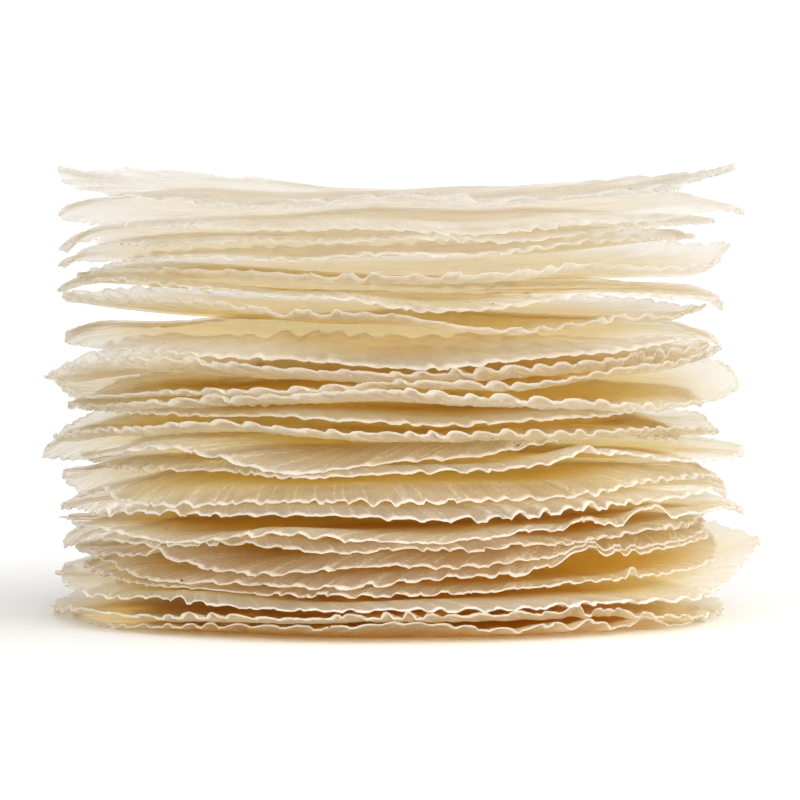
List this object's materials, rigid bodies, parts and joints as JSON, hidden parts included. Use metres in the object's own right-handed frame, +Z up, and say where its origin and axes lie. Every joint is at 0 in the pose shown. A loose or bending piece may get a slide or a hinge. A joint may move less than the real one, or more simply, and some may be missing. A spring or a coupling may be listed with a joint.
{
  "type": "stack of mung bean sheets",
  "caption": "Loose stack of dried mung bean starch sheets: thin, round, warped and see-through at the rims, which are rippled all round.",
  "frame": {"origin": "middle of the box's underside, on the surface that the stack lies on", "axes": "+Z up through the stack; X along its front as pictured, +X to the right; +Y away from the camera"},
  "size_m": [0.2375, 0.2324, 0.1503],
  "materials": {
    "starch_amber": "satin, translucent dried starch in the stack's shade",
    "starch_cream": "satin, translucent dried starch",
    "starch_pale": "satin, translucent dried starch in full light"
  },
  "bodies": {
    "root": {"sheet_01": "starch_amber", "sheet_02": "starch_amber", "sheet_03": "starch_amber", "sheet_04": "starch_amber", "sheet_05": "starch_amber", "sheet_06": "starch_amber", "sheet_07": "starch_amber", "sheet_08": "starch_amber", "sheet_09": "starch_amber", "sheet_10": "starch_cream", "sheet_11": "starch_cream", "sheet_12": "starch_cream", "sheet_13": "starch_cream", "sheet_14": "starch_cream", "sheet_15": "starch_cream", "sheet_16": "starch_cream", "sheet_17": "starch_cream", "sheet_18": "starch_pale", "sheet_19": "starch_pale", "sheet_20": "starch_pale", "sheet_21": "starch_pale", "sheet_22": "starch_pale", "sheet_23": "starch_pale", "sheet_24": "starch_pale", "sheet_25": "starch_pale"}
  },
  "joints": []
}
